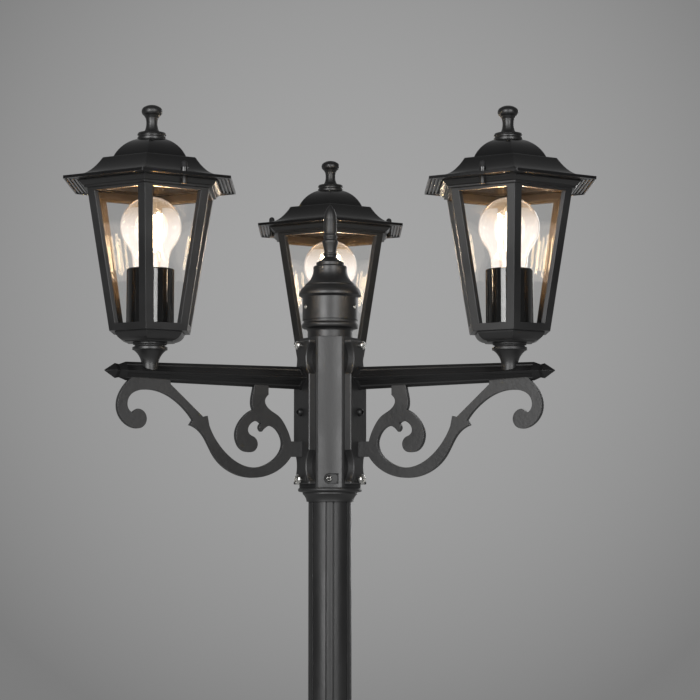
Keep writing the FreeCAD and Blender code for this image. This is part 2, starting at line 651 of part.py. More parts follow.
def cap_screws():
    """Screws through the cap's drum into the neck's spigot."""
    one = screw(CAP_SCREW_HEAD, CAP_SCREW_SHANK, 2 * CAP_WALL)
    placed = radial(one, DRUM_RADIUS + FIT, 0, cap_screw_height())
    return Part.makeCompound([spun(placed, angle) for angle in ARM_ANGLES.values()])


def lantern_foot(blank):
    """Turned foot: two rings over a trumpet that is saddled onto the arm."""
    up = climb(0, FOOT_TOP)
    wide, groove, slim = FOOT_RADIUS, FOOT_GROOVE_RADIUS, FOOT_WAIST_RADIUS
    upper = 0.965 * wide
    flare = [(0.72 * slim + 0.28 * wide, up(0.54)), (0.91 * wide, up(0.735))]
    trumpet = turned((STEM_HOLE, 0), (slim, 0), (slim, up(0.27)), flare, (wide, up(0.755)),
                     (wide, up(0.84)), (groove, up(0.875)), (groove, up(0.915)), (upper, up(0.935)),
                     (upper, up(1)), (STEM_HOLE, up(1)))
    return trumpet.cut(moved(blank, -LANTERN_REACH, 0, 0))


def lantern_bowl():
    """Six-sided pan, rounded out from its flat foot to its rim, open above."""
    rim, foot = BOWL_TOP_RADIUS * TO_FLAT, BOWL_FOOT_RADIUS * TO_FLAT
    up = climb(FOOT_TOP, BOWL_HEIGHT)
    floor = FOOT_TOP + BOWL_WALL
    swell = [(0.64 * rim + 0.36 * foot, up(0.38)), (rim, up(0.88))]
    section = outline((0, up(0)), (0.96 * foot, up(0)), (foot, up(0.1)), swell, (rim, up(1)),
                      (rim - BOWL_WALL, up(1)), (foot - BOWL_WALL, floor), (0, floor))
    return hexagonal(section).cut(rod(STEM_HOLE, FOOT_TOP, CAGE_FOOT))


def wall_half(height, inset=0.0):
    """Half width across the flats of the cage's sloping wall at a height, less an inset."""
    share = (height - CAGE_FOOT) / CAGE_HEIGHT
    corner = CAGE_FOOT_RADIUS + share * (CAGE_HEAD_RADIUS - CAGE_FOOT_RADIUS)
    return corner * TO_FLAT - inset


def knob_places():
    """Places of a roof's two knobs in its own frame, opposite each other beside the middle of two flats."""
    return [(-side * KNOB_OFFSET, side * KNOB_HALF) for side in (-1, 1)]


def lantern_cage():
    """Six bars between a floor with a rail and a moulded cornice, with lugs for the roof's knobs."""
    fillet, wide = CORNICE_FILLET_RADIUS * TO_FLAT, CORNICE_RADIUS * TO_FLAT
    up, top = climb(CORNICE_FOOT, CORNICE_HEIGHT), CORNICE_TOP
    step = 0.25 * wide + 0.75 * fillet
    cove = [(0.55 * step + 0.45 * wide, up(0.6)), (0.99 * wide, up(0.83))]
    section = outline((0, CAGE_FOOT), (wall_half(CAGE_FOOT), CAGE_FOOT), (wall_half(up(0)), up(0)),
                      (fillet, up(0.04)), (fillet, up(0.28)), (step, up(0.36)), cove, (wide, up(0.83)),
                      (wide, top), (wall_half(top, FRAME_WALL), top),
                      (wall_half(FLOOR_TOP, FRAME_WALL), FLOOR_TOP), (0, FLOOR_TOP))
    cage = hexagonal(section)
    sill, head = CAGE_FOOT + SILL_HEIGHT, CORNICE_FOOT - HEAD_RAIL
    outer = 2 * CORNICE_RADIUS
    window = outline((STEM_HOLE, sill), (outer, sill), (outer, head), (STEM_HOLE, head))
    openings = six(sector(window, BAR_WIDTH * TO_FLAT))
    cage = cage.cut(openings + [rod(STEM_HOLE, CAGE_FOOT, FLOOR_TOP)])
    lugs = [moved(rod(LUG_RADIUS, up(0.08), top), x, y, 0) for x, y in knob_places()]
    holes = [moved(rod(KNOB_SHANK + SCREW_FIT, up(0.2), top), x, y, 0) for x, y in knob_places()]
    return cage.fuse(lugs).cut(holes)


def lantern_panes():
    """Six glass panes behind the cage's bars, standing on its floor."""
    foot, head = FLOOR_TOP, CORNICE_FOOT
    inner = FRAME_WALL + PANE_THICKNESS
    section = outline((wall_half(foot, inner), foot), (wall_half(foot, FRAME_WALL), foot),
                      (wall_half(head, FRAME_WALL), head), (wall_half(head, inner), head))
    return Part.makeCompound(six(sector(section, PANE_GAP)))


def roof_curve(inset):
    """Steps of the roof's section from its flat top to its brim, sunk by an inset each way."""
    half, edge, crown = DOME_HALF - inset, LEDGE_HALF - inset, ROOF_TOP - inset
    dome, skirt = climb(LEDGE - inset, DOME_HEIGHT), climb(BRIM_TOP - inset, SKIRT_HEIGHT)
    run, span = DOME_HALF - DOME_TOP_HALF, BRIM_HALF - LEDGE_HALF
    arch = [(half - 0.37 * run, dome(0.6)), (half, dome(0.075))]
    ledge = edge - 0.02 * span
    hollow = [(edge + 0.07 * span, skirt(0.8)), (edge + 0.21 * span, skirt(0.52)),
              (edge + 0.36 * span, skirt(0.3)), (edge + 0.6 * span, skirt(0.12))]
    return (half - run, crown), arch, (half, dome(0.025)), (ledge, dome(0)), (edge, skirt(0.97)), hollow


def lantern_roof():
    """Cast roof: dome, ledge and hollow skirt in one shell, with ribs and seating pads under the brim."""
    top, *outer = roof_curve(0.0)
    inner_top, *inner = roof_curve(ROOF_WALL)
    soffit, lip = CORNICE_TOP + SEAT_GAP, BRIM_HALF - BRIM_LIP
    shell = outline((0, ROOF_TOP), top, *outer, (BRIM_HALF, BRIM_TOP), (BRIM_HALF, BRIM_FOOT),
                    (lip, BRIM_FOOT), (lip, soffit), (0, soffit))
    hollow = outline((0, inner_top[1]), inner_top, *inner[:-1], (SEAT_HALF, soffit + ROOF_WALL),
                     (SEAT_HALF, CORNICE_TOP), (0, CORNICE_TOP))
    roof = hexagonal(shell).cut(hexagonal(hollow))
    pitch = (lip - CORNICE_RADIUS * TO_FLAT) / (SOFFIT_RIBS + 0.5)
    for rib in range(SOFFIT_RIBS):
        start = lip - (rib + 1) * pitch
        bead = outline((start, soffit), (start + pitch / 2, soffit),
                       (start + pitch / 2, soffit - SOFFIT_RIB_HEIGHT), (start, soffit - SOFFIT_RIB_HEIGHT))
        roof = roof.fuse(hexagonal(bead))
    pad = sector(outline((SEAT_HALF, CORNICE_TOP), (SEAT_HALF + SEAT_WIDTH, CORNICE_TOP),
                         (SEAT_HALF + SEAT_WIDTH, soffit), (SEAT_HALF, soffit)), SEAT_CLEAR)
    bosses = [moved(rod(KNOB_BOSS_RADIUS, soffit, knob_seat()), x, y, 0) for x, y in knob_places()]
    hole = rod(KNOB_SHANK + SCREW_FIT, CORNICE_TOP, knob_seat())
    holes = [moved(hole, x, y, 0) for x, y in knob_places()]
    stud = rod(FINIAL_STUD_RADIUS + FIT, ROOF_TOP - 2 * ROOF_WALL, ROOF_TOP)
    return roof.fuse(six(pad) + bosses).removeSplitter().cut(holes + [stud])


def knob_seat():
    """Height of the bosses that the knobs bear on, just above the skirt."""
    return BRIM_TOP + 0.3 * SKIRT_HEIGHT


def roof_knobs():
    """Domed knob with a shank through the roof into the cornice's lug."""
    length = knob_seat() - CORNICE_FOOT - 0.3 * CORNICE_HEIGHT
    diagonal = math.sqrt(0.5)
    knob = turned((0, -length), (KNOB_SHANK, -length), (KNOB_SHANK, 0), (KNOB_RADIUS, 0),
                  (KNOB_RADIUS, KNOB_HEIGHT - KNOB_RADIUS),
                  [(KNOB_RADIUS * diagonal, KNOB_HEIGHT - KNOB_RADIUS * (1 - diagonal)), (0, KNOB_HEIGHT)])
    return [moved(knob, x, y, knob_seat()) for x, y in knob_places()]


def roof_finial():
    """Turned knob on two stacked rings, with a stud into the roof."""
    up, foot = climb(ROOF_TOP, FINIAL_HEIGHT), ROOF_TOP - FINIAL_STUD
    base, neck, wide, stud = FINIAL_BASE_RADIUS, FINIAL_NECK_RADIUS, FINIAL_BALL_RADIUS, FINIAL_STUD_RADIUS
    groove = 0.93 * base
    cove = [(1.43 * neck, up(0.247)), (1.18 * neck, up(0.31))]
    stalk = [(neck, up(0.466)), (1.12 * neck, up(0.63))]
    ball = [(wide, up(0.815)), (0.72 * wide, up(0.95))]
    crown = [(0.5 * wide, up(0.983)), (0.15 * wide, up(1))]
    return turned((0, foot), (stud, foot), (stud, up(0)), (base, up(0)), (base, up(0.07)),
                  (groove, up(0.1)), (groove, up(0.135)), (base, up(0.155)), (0.94 * base, up(0.208)),
                  cove, stalk, (0.77 * wide, up(0.708)), ball, crown, (0, up(1)))


def lantern_stem():
    """Hollow threaded stem from the arm's bore to the lamp holder."""
    top = HOLDER_FOOT + STEM_IN_HOLDER
    return rod(STEM_RADIUS, 0, top).cut(rod(STEM_BORE, 0, top))


def stem_nut():
    """Nut that clamps the lantern's floor, bowl and foot to the arm."""
    return hex_bar(NUT_HALF, FLOOR_TOP, HOLDER_FOOT).cut(rod(STEM_HOLE, FLOOR_TOP, HOLDER_FOOT))


def lamp_holder():
    """Glossy moulded cup for the bulb's screw cap, screwed on the stem."""
    well, seat = BULB_FOOT - CAP_LENGTH - CAP_TIP, HOLDER_FOOT + STEM_IN_HOLDER
    wide, edge, diagonal = HOLDER_RADIUS, HOLDER_EDGE, HOLDER_EDGE * (1 - math.sqrt(0.5))
    bore, mouth = CAP_RADIUS + FIT, HOLDER_MOUTH_RADIUS
    return turned((STEM_HOLE, HOLDER_FOOT), (wide - edge, HOLDER_FOOT), (wide, HOLDER_FOOT + edge),
                  (wide, HOLDER_TOP - edge),
                  [(wide - diagonal, HOLDER_TOP - diagonal), (wide - edge, HOLDER_TOP)],
                  (mouth, HOLDER_TOP), (mouth, BULB_FOOT), (bore, BULB_FOOT - edge), (bore, well),
                  (STEM_BORE, well), (STEM_BORE, seat), (STEM_HOLE, seat))


def bulb_curve(inset):
    """Bulb's profile from the cap up, sunk by an inset: seal, neck, the shoulder's arc and the globe's."""
    centre = BULB_FOOT + BULB_HEIGHT - BULB_RADIUS
    globe, neck = BULB_RADIUS - inset, BULB_NECK_RADIUS - inset
    turn = math.radians(BULB_SHOULDER)
    bend = (globe * math.cos(turn) - neck) / (1 - math.cos(turn))
    low = centre - (globe + bend) * math.sin(turn)
    half_way = (neck + bend * (1 - math.cos(turn / 2)), low + bend * math.sin(turn / 2))
    shoulder = (globe * math.cos(turn), centre - globe * math.sin(turn))
    seal = (0.95 * BULB_NECK_RADIUS - inset, BULB_FOOT + BULB_SEAL)
    crown = (0, centre + globe)
    return (CAP_RADIUS - inset, BULB_FOOT), seal, (neck, low), half_way, shoulder, (globe, centre), crown


def bulb_glass():
    """Thin clear envelope, open at the cap."""
    foot, seal, neck, bend, shoulder, side, crown = bulb_curve(0.0)
    foot_in, seal_in, neck_in, bend_in, shoulder_in, side_in, crown_in = bulb_curve(BULB_WALL)
    return turned(foot, seal, neck, [bend, shoulder], [side, crown], crown_in, [side_in, shoulder_in],
                  [bend_in, neck_in], seal_in, foot_in)


def bulb_filament():
    """Glass mount on the cap with a rod and upright filaments on thin lead wires."""
    up = climb(BULB_FOOT, FILAMENT_RISE)
    low, high, flare, slim = up(1), up(1) + FILAMENT_LENGTH, MOUNT_FLARE_RADIUS, MOUNT_ROD_RADIUS
    top = high + FILAMENT_RADIUS
    funnel = [(0.36 * flare + 0.64 * slim, up(0.3)), (slim, up(0.75))]
    mount = turned((0, up(0)), (flare, up(0)), (flare, up(0.04)), funnel, (slim, top), (0, top))
    pieces = []
    for number in range(FILAMENT_COUNT):
        strip = [moved(rod(FILAMENT_RADIUS, low, high), FILAMENT_CIRCLE, 0, 0)]
        strip += [radial(rod(LEAD_RADIUS, 0, FILAMENT_CIRCLE), 0, 0, level)
                  for level in (low + FILAMENT_RADIUS, high - FILAMENT_RADIUS)]
        pieces += [spun(piece, (number + 0.5) * 360 / FILAMENT_COUNT) for piece in strip]
    return mount.fuse(pieces)


def bulb_cap():
    """Screw cap with a contact tip, filling the holder's well."""
    up, tip = climb(BULB_FOOT - CAP_LENGTH, CAP_LENGTH), BULB_FOOT - CAP_LENGTH - CAP_TIP + FIT
    shell = 0.955 * CAP_RADIUS
    return turned((0, tip), (0.3 * CAP_RADIUS, tip), (0.37 * CAP_RADIUS, up(-0.02)),
                  (0.7 * CAP_RADIUS, up(0)), (shell, up(0.15)), (shell, up(0.89)), (CAP_RADIUS, up(0.93)),
                  (CAP_RADIUS, up(1)), (0, up(1)))


def export(name, shape):
    """One STEP file for a named piece."""
    shape.exportStep(f"parts/{name}.step")


def build_post():
    """Base, tube and what fixes them."""
    export("post_base", post_base())
    export("base_set_screws", base_set_screws())
    export("post_tube", post_tube())


def build_hub():
    """Everything on the post's axis at the arms' height, and the screws in it."""
    makers = (post_collar, hub_core, hub_neck, terminal_block, hub_cap, hub_spear, plate_screws, arm_bolts,
              hub_screws, cap_screws)
    for make in makers:
        export(make.__name__, moved(make(), 0, 0, ARM_HEIGHT))


def build_arms(blank):
    """Three arms, each with its plate and scroll."""
    pieces = {"arm": arm(blank), "arm_plate": arm_plate(), "scroll": scroll(blank)}
    for side, angle in ARM_ANGLES.items():
        for name, shape in pieces.items():
            export(f"{side}_{name}", moved(spun(shape, angle), 0, 0, ARM_HEIGHT))


def build_lanterns(blank):
    """Three lanterns, each turned so that a corner points along its arm."""
    pieces = {"lantern_foot": lantern_foot(blank), "lantern_bowl": lantern_bowl(),
              "lantern_cage": lantern_cage(), "lantern_panes": lantern_panes(),
              "lantern_stem": lantern_stem(), "lamp_holder": lamp_holder(), "bulb_cap": bulb_cap(),
              "bulb_filament": bulb_filament(), "bulb_glass": bulb_glass(),
              "lantern_roof": lantern_roof(), "roof_finial": roof_finial()}
    nut, knobs = stem_nut(), roof_knobs()
    nuts, all_knobs = [], []
    for side, angle in ARM_ANGLES.items():
        def placed(shape):
            return spun(moved(shape, LANTERN_REACH, 0, ARM_HEIGHT), angle)

        for name, shape in pieces.items():
            export(f"{side}_{name}", placed(shape))
        nuts.append(placed(nut))
        all_knobs += [placed(knob) for knob in knobs]
    export("stem_nuts", Part.makeCompound(nuts))
    export("roof_knobs", Part.makeCompound(all_knobs))


os.makedirs("parts", exist_ok=True)
bar = arm_blank()
build_post()
build_hub()
build_arms(bar)
build_lanterns(bar)
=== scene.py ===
"""Garden lamp post with three lit lanterns: finishes, bulb insides, stage, light and camera."""

import json
import logging
import math
from dataclasses import dataclass
from enum import Enum

import bpy
import numpy as np
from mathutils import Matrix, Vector


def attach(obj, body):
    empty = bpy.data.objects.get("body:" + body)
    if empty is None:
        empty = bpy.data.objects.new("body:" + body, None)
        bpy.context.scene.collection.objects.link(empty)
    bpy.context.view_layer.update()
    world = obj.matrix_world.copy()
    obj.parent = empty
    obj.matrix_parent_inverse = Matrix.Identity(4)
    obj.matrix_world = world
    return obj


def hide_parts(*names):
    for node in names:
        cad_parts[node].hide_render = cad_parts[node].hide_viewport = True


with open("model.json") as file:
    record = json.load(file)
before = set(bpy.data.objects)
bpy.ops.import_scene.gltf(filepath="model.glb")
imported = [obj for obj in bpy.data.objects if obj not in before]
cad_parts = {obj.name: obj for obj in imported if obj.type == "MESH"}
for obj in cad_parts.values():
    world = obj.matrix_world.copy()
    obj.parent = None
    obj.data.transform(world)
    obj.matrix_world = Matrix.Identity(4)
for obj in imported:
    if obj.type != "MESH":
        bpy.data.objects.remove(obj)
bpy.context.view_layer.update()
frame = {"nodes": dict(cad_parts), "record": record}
LOG = logging.getLogger("lamp_post")
MM = 0.001
BODY = "root"
PROBES = 4  # rays that the edge and recess nodes send out from each point
VECTOR, VALUE = "NodeSocketVector", "NodeSocketFloat"
Colour = tuple[float, float, float]
Point = tuple[float, float, float]
Angles = tuple[float, float, float]
Span = tuple[float, float]
Skin = tuple[np.ndarray, np.ndarray, np.ndarray]
Socket = bpy.types.NodeSocket
Feed = Socket | float | tuple[float, ...] | Vector
UNIT: Span = (0.0, 1.0)


class Side(Enum):
    """The three arms, named for where they point, with their angles about the post in degrees."""

    REAR = 90.0
    LEFT = 210.0
    RIGHT = 330.0

    @property
    def word(self) -> str:
        """First word of the side's node names."""
        return self.name.lower()


class Fade(Enum):
    """How a ramp goes from one end to the other, in Blender's words."""

    SMOOTH = "SMOOTHSTEP"
    EVEN = "LINEAR"


class NodeSheet:
    """Shader nodes of one material, group or world, placed and joined by short calls."""

    MIX_INPUTS = (0, 6, 7)  # places of the factor and the two colours on Blender's Mix node
    MIX_OUTPUT = 2

    def __init__(self, tree: bpy.types.NodeTree) -> None:
        """Take the tree and clear it.

        Args:
            tree: node tree to fill.
        """
        self.tree = tree
        tree.nodes.clear()

    def add(self, kind: str, settings: dict[str, object] | None = None, **inputs: Feed) -> bpy.types.Node:
        """Place a node and fill inputs by their names.

        Args:
            kind: Blender's node type.
            settings: node properties by name.
            inputs: input sockets by name with _ for spaces: an output socket to join, or a plain value.

        Returns:
            The new node.
        """
        node = self.tree.nodes.new(kind)
        for name, value in (settings or {}).items():
            setattr(node, name, value)
        for name, value in inputs.items():
            self.feed(node.inputs[name.replace("_", " ")], value)
        return node

    def row(self, kind: str, settings: dict[str, object], *values: Feed) -> bpy.types.Node:
        """Place a node and fill its first inputs in their order.

        Args:
            kind: Blender's node type.
            settings: node properties by name.
            values: output sockets to join, or plain values.

        Returns:
            The new node.
        """
        node = self.add(kind, settings)
        for socket, value in zip(node.inputs, values):
            self.feed(socket, value)
        return node

    def feed(self, socket: Socket, value: Feed) -> None:
        """Join an output socket to an input, or set the input's own value.

        Args:
            socket: input to fill.
            value: output socket, number, colour or vector.
        """
        if isinstance(value, Socket):
            self.tree.links.new(value, socket)
        elif socket.type == "RGBA" and len(value) == 3:
            socket.default_value = (*value, 1.0)
        else:
            socket.default_value = value

    def math(self, operation: str, first: Feed, second: Feed) -> Socket:
        """Result of a Math node on two sockets or numbers."""
        return self.row("ShaderNodeMath", {"operation": operation}, first, second).outputs[0]

    def dot(self, first: Feed, second: Feed) -> Socket:
        """Scalar product of two vectors."""
        return self.row("ShaderNodeVectorMath", {"operation": "DOT_PRODUCT"}, first, second).outputs["Value"]

    def ramp(self, value: Socket, span: Span = UNIT, to: Span = UNIT, fade: Fade = Fade.SMOOTH) -> Socket:
        """Carry a value from one range to another and hold it at the ends.

        Args:
            value: socket to carry.
            span: range that it comes in.
            to: range that it leaves in.
            fade: way from one end to the other.

        Returns:
            The result's socket.
        """
        node = self.add("ShaderNodeMapRange", {"interpolation_type": fade.value}, Value=value,
                        From_Min=span[0], From_Max=span[1], To_Min=to[0], To_Max=to[1])
        return node.outputs["Result"]

    def mix(self, factor: Feed, first: Feed, second: Feed) -> Socket:
        """Mix two colours.

        Args:
            factor: share of the second colour.
            first: colour at 0.
            second: colour at 1.

        Returns:
            The mixed colour's socket.
        """
        node = self.add("ShaderNodeMix", {"data_type": "RGBA"})
        for place, value in zip(self.MIX_INPUTS, (factor, first, second)):
            self.feed(node.inputs[place], value)
        return node.outputs[self.MIX_OUTPUT]


@dataclass
class SharedEffects:
    """Node groups that several finishes use, each built once.

    Scales count a pattern's cells to the metre. Bands are the levels between which a pattern sets in.
    """

    pit_share: float = 0.55
    peel_share: float = 0.45
    peel_scale: float = 0.45  # share of the pits' scale
    cloud_scale: float = 14.0
    cloud_band: Span = (0.3, 0.7)
    edge_cosines: Span = (0.995, 0.85)
    streak_scale: float = 60.0
    streak_stretch: float = 0.12  # share of the streaks' scale along their fall
    streak_band: Span = (0.42, 0.75)
    streak_weight: float = 0.8
    speck_band: Span = (0.68, 0.8)
    speck_weight: float = 0.4

    def __post_init__(self) -> None:
        """Build the groups."""
        self.grain = self._grain()
        self.edge = self._edge()
        self.film = self._film()

    @staticmethod
    def _start(name: str, inputs: dict[str, str], outputs: dict[str, str]) -> tuple[
            bpy.types.NodeTree, NodeSheet, bpy.types.Node, bpy.types.Node]:
        """Make an empty group.

        Args:
            name: group's name.
            inputs: socket type by input name.
            outputs: socket type by output name.

        Returns:
            The group, its sheet, its input node and its output node.
        """
        tree = bpy.data.node_groups.new(name, "ShaderNodeTree")
        for way, sockets in (("INPUT", inputs), ("OUTPUT", outputs)):
            for label, kind in sockets.items():
                tree.interface.new_socket(label, in_out=way, socket_type=kind)
        sheet = NodeSheet(tree)
        return tree, sheet, sheet.add("NodeGroupInput"), sheet.add("NodeGroupOutput")

    def _grain(self) -> bpy.types.NodeTree:
        """Powder coat's grain: fine pits over a soft peel as height, and slow cloudy change as tone.

        Returns:
            The group.
        """
        tree, sheet, entry, leave = self._start(
            "powder_grain", {"Place": VECTOR, "Pit Scale": VALUE}, {"Height": VALUE, "Tone": VALUE})
        place, pits = entry.outputs["Place"], entry.outputs["Pit Scale"]
        fine = sheet.add("ShaderNodeTexNoise", Vector=place, Scale=pits, Detail=3.0, Roughness=0.6)
        peel = sheet.add("ShaderNodeTexVoronoi", {"feature": "SMOOTH_F1"}, Vector=place,
                         Scale=sheet.math("MULTIPLY", pits, self.peel_scale), Smoothness=0.7)
        height = sheet.math("ADD", sheet.math("MULTIPLY", fine.outputs["Fac"], self.pit_share),
                            sheet.math("MULTIPLY", peel.outputs["Distance"], self.peel_share))
        cloud = sheet.add("ShaderNodeTexNoise", Vector=place, Scale=self.cloud_scale, Detail=4.0,
                          Roughness=0.55)
        sheet.feed(leave.inputs["Height"], height)
        sheet.feed(leave.inputs["Tone"], sheet.ramp(cloud.outputs["Fac"], self.cloud_band))
        return tree

    def _edge(self) -> bpy.types.NodeTree:
        """Mask of edges: how far the rounded normal leans away from the plain one.

        Returns:
            The group.
        """
        tree, sheet, entry, leave = self._start(
            "edge_mask", {"Rounded": VECTOR, "Plain": VECTOR}, {"Edge": VALUE})
        lean = sheet.dot(entry.outputs["Rounded"], entry.outputs["Plain"])
        sheet.feed(leave.inputs["Edge"], sheet.ramp(lean, self.edge_cosines))
        return tree

    def _film(self) -> bpy.types.NodeTree:
        """Film on bright or clear surfaces: soft streaks that fall and a few specks, from 0 clean to 1.

        Returns:
            The group.
        """
        tree, sheet, entry, leave = self._start(
            "surface_film", {"Place": VECTOR, "Speck Scale": VALUE}, {"Film": VALUE})
        place = entry.outputs["Place"]
        fall = sheet.add("ShaderNodeMapping", Vector=place, Scale=(1.0, 1.0, self.streak_stretch))
        streak = sheet.add("ShaderNodeTexNoise", Vector=fall.outputs["Vector"], Scale=self.streak_scale,
                           Detail=5.0, Roughness=0.6)
        speck = sheet.add("ShaderNodeTexNoise", Vector=place, Scale=entry.outputs["Speck Scale"], Detail=2.0)
        both = sheet.math(
            "ADD", sheet.ramp(streak.outputs["Fac"], self.streak_band, (0.0, self.streak_weight)),
            sheet.ramp(speck.outputs["Fac"], self.speck_band, (0.0, self.speck_weight)))
        sheet.feed(leave.inputs["Film"], both)
        return tree


class Finish:
    """A finish that makes its material once."""

    name: str

    def material(self, effects: SharedEffects) -> bpy.types.Material:
        """Material of this finish, made on first use.

        Args:
            effects: shared node groups.

        Returns:
            The material.
        """
        found = bpy.data.materials.get(self.name)
        if found:
            return found
        made = bpy.data.materials.new(self.name)
        made.use_nodes = True
        self.paint(NodeSheet(made.node_tree), effects)
        return made

    def paint(self, sheet: NodeSheet, effects: SharedEffects) -> None:
        """Fill the material's nodes; each finish has its own way."""
        raise NotImplementedError

    @staticmethod
    def darker(colour: Colour, share: float) -> Colour:
        """A colour at a share of its brightness."""
        return tuple(share * part for part in colour)

    @staticmethod
    def place(sheet: NodeSheet) -> Socket:
        """Object coordinates."""
        return sheet.add("ShaderNodeTexCoord").outputs["Object"]

    @staticmethod
    def rounded(sheet: NodeSheet, radius: float) -> Socket:
        """Normals as they would be on edges rounded by a radius."""
        return sheet.add("ShaderNodeBevel", {"samples": PROBES}, Radius=radius).outputs["Normal"]

    @staticmethod
    def group(sheet: NodeSheet, tree: bpy.types.NodeTree, **inputs: Feed) -> bpy.types.Node:
        """A shared group placed with its own values."""
        return sheet.add("ShaderNodeGroup", {"node_tree": tree}, **inputs)

    @staticmethod
    def close(sheet: NodeSheet, shader: Socket) -> None:
        """Join a shader to the material's output."""
        sheet.add("ShaderNodeOutputMaterial", Surface=shader)


@dataclass(frozen=True)
class PowderCoat(Finish):
    """Black coat on castings and extrusions: grainy, satin, thinner and shinier on edges, with painted shade
    in recesses, where it is also rougher.

    Shares are of the coat's colour. Painted shade darkens a recess where less of the view within its reach
    is open.
    """

    name: str
    colour: Colour = (0.0075, 0.0075, 0.0078)
    worn: Colour = (0.022, 0.022, 0.023)
    roughness: float = 0.4
    spread: float = 0.1
    specular: float = 1.0
    grain: float = 0.55
    grain_depth: float = 0.3 * MM
    pit_scale: float = 450.0
    cloud_share: float = 0.75
    edge_radius: float = 0.7 * MM
    edge_shine: float = 0.06
    # painted shade in recesses: the occlusion's reach, its band, the darkened share of the colour, and the
    # roughness added there
    recess_reach: float = 3.0 * MM
    recess_band: Span = (0.8, 0.35)
    recess_share: float = 0.4
    recess_dulling: float = 0.5

    def paint(self, sheet: NodeSheet, effects: SharedEffects) -> None:
        """Coat colour and gloss from the cloudy tone and the edges, painted shade and more roughness in the
        recesses, bump from the grain.

        Args:
            sheet: material's nodes.
            effects: shared node groups.
        """
        grain = self.group(sheet, effects.grain, Place=self.place(sheet), Pit_Scale=self.pit_scale)
        rounded = self.rounded(sheet, self.edge_radius)
        plain = sheet.add("ShaderNodeNewGeometry").outputs["Normal"]
        edge = self.group(sheet, effects.edge, Rounded=rounded, Plain=plain).outputs["Edge"]
        # painted shade: occlusion within a short reach marks recesses and gaps, which are then darkened and
        # made rougher
        view = sheet.add("ShaderNodeAmbientOcclusion", {"samples": PROBES}, Distance=self.recess_reach)
        recess_shade_and_dulling = sheet.ramp(view.outputs["AO"], self.recess_band)
        tone = grain.outputs["Tone"]
        cloudy = sheet.mix(tone, self.darker(self.colour, self.cloud_share), self.colour)
        # painted shade: the coat's colour turns darker where the recess mask is set
        coat = sheet.mix(recess_shade_and_dulling, cloudy, self.darker(self.colour, self.recess_share))
        satin = sheet.ramp(tone, UNIT, (self.roughness, self.roughness + self.spread))
        rubbed = sheet.math("SUBTRACT", satin, sheet.math("MULTIPLY", edge, self.edge_shine))
        gloss = sheet.math("ADD", rubbed, sheet.math("MULTIPLY", recess_shade_and_dulling, self.recess_dulling))
        bump = sheet.add("ShaderNodeBump", Strength=self.grain, Distance=self.grain_depth,
                         Height=grain.outputs["Height"], Normal=rounded)
        shader = sheet.add("ShaderNodeBsdfPrincipled", Base_Color=sheet.mix(edge, coat, self.worn),
                           Roughness=gloss, Specular_IOR_Level=self.specular, Normal=bump.outputs["Normal"])
        self.close(sheet, shader.outputs[0])


@dataclass(frozen=True)
class BrightMetal(Finish):
    """Plated steel: bright, with a faint film and fine turning marks."""

    name: str
    colour: Colour
    roughness: float
    edge_radius: float = 0.25 * MM
    speck_scale: float = 1200.0
    film_share: float = 0.6
    film_roughness: float = 0.25
    mark_strength: float = 0.08
    mark_depth: float = 0.1 * MM

    def paint(self, sheet: NodeSheet, effects: SharedEffects) -> None:
        """Plate colour dulled by the film, gloss broken by it, rounded edges.

        Args:
            sheet: material's nodes.
            effects: shared node groups.
        """
        place = self.place(sheet)
        film = self.group(sheet, effects.film, Place=place, Speck_Scale=self.speck_scale).outputs["Film"]
        marks = sheet.add("ShaderNodeBump", Strength=self.mark_strength, Distance=self.mark_depth,
                          Height=film, Normal=self.rounded(sheet, self.edge_radius))
        plate = sheet.mix(film, self.colour, self.darker(self.colour, self.film_share))
        gloss = sheet.ramp(film, UNIT, (self.roughness, self.roughness + self.film_roughness))
        shader = sheet.add("ShaderNodeBsdfPrincipled", Base_Color=plate, Metallic=1.0, Roughness=gloss,
                           Normal=marks.outputs["Normal"])
        self.close(sheet, shader.outputs[0])


@dataclass(frozen=True)
class Moulding(Finish):
    """Moulded plastic: even colour with a faint flow mottle and a soft gloss."""

    name: str
    colour: Colour
    roughness: float
    spread: float = 0.05
    specular: float = 0.5
    ripple: float = 0.02
    ripple_depth: float = 0.1 * MM
    pit_scale: float = 600.0
    cloud_share: float = 0.8

    def paint(self, sheet: NodeSheet, effects: SharedEffects) -> None:
        """Colour and gloss from the cloudy tone, a trace of bump.

        Args:
            sheet: material's nodes.
            effects: shared node groups.
        """
        grain = self.group(sheet, effects.grain, Place=self.place(sheet), Pit_Scale=self.pit_scale)
        tone = grain.outputs["Tone"]
        bump = sheet.add("ShaderNodeBump", Strength=self.ripple, Distance=self.ripple_depth,
                         Height=grain.outputs["Height"])
        mottle = sheet.mix(tone, self.darker(self.colour, self.cloud_share), self.colour)
        gloss = sheet.ramp(tone, UNIT, (self.roughness, self.roughness + self.spread))
        shader = sheet.add("ShaderNodeBsdfPrincipled", Base_Color=mottle, Roughness=gloss,
                           Specular_IOR_Level=self.specular, Normal=bump.outputs["Normal"])
        self.close(sheet, shader.outputs[0])


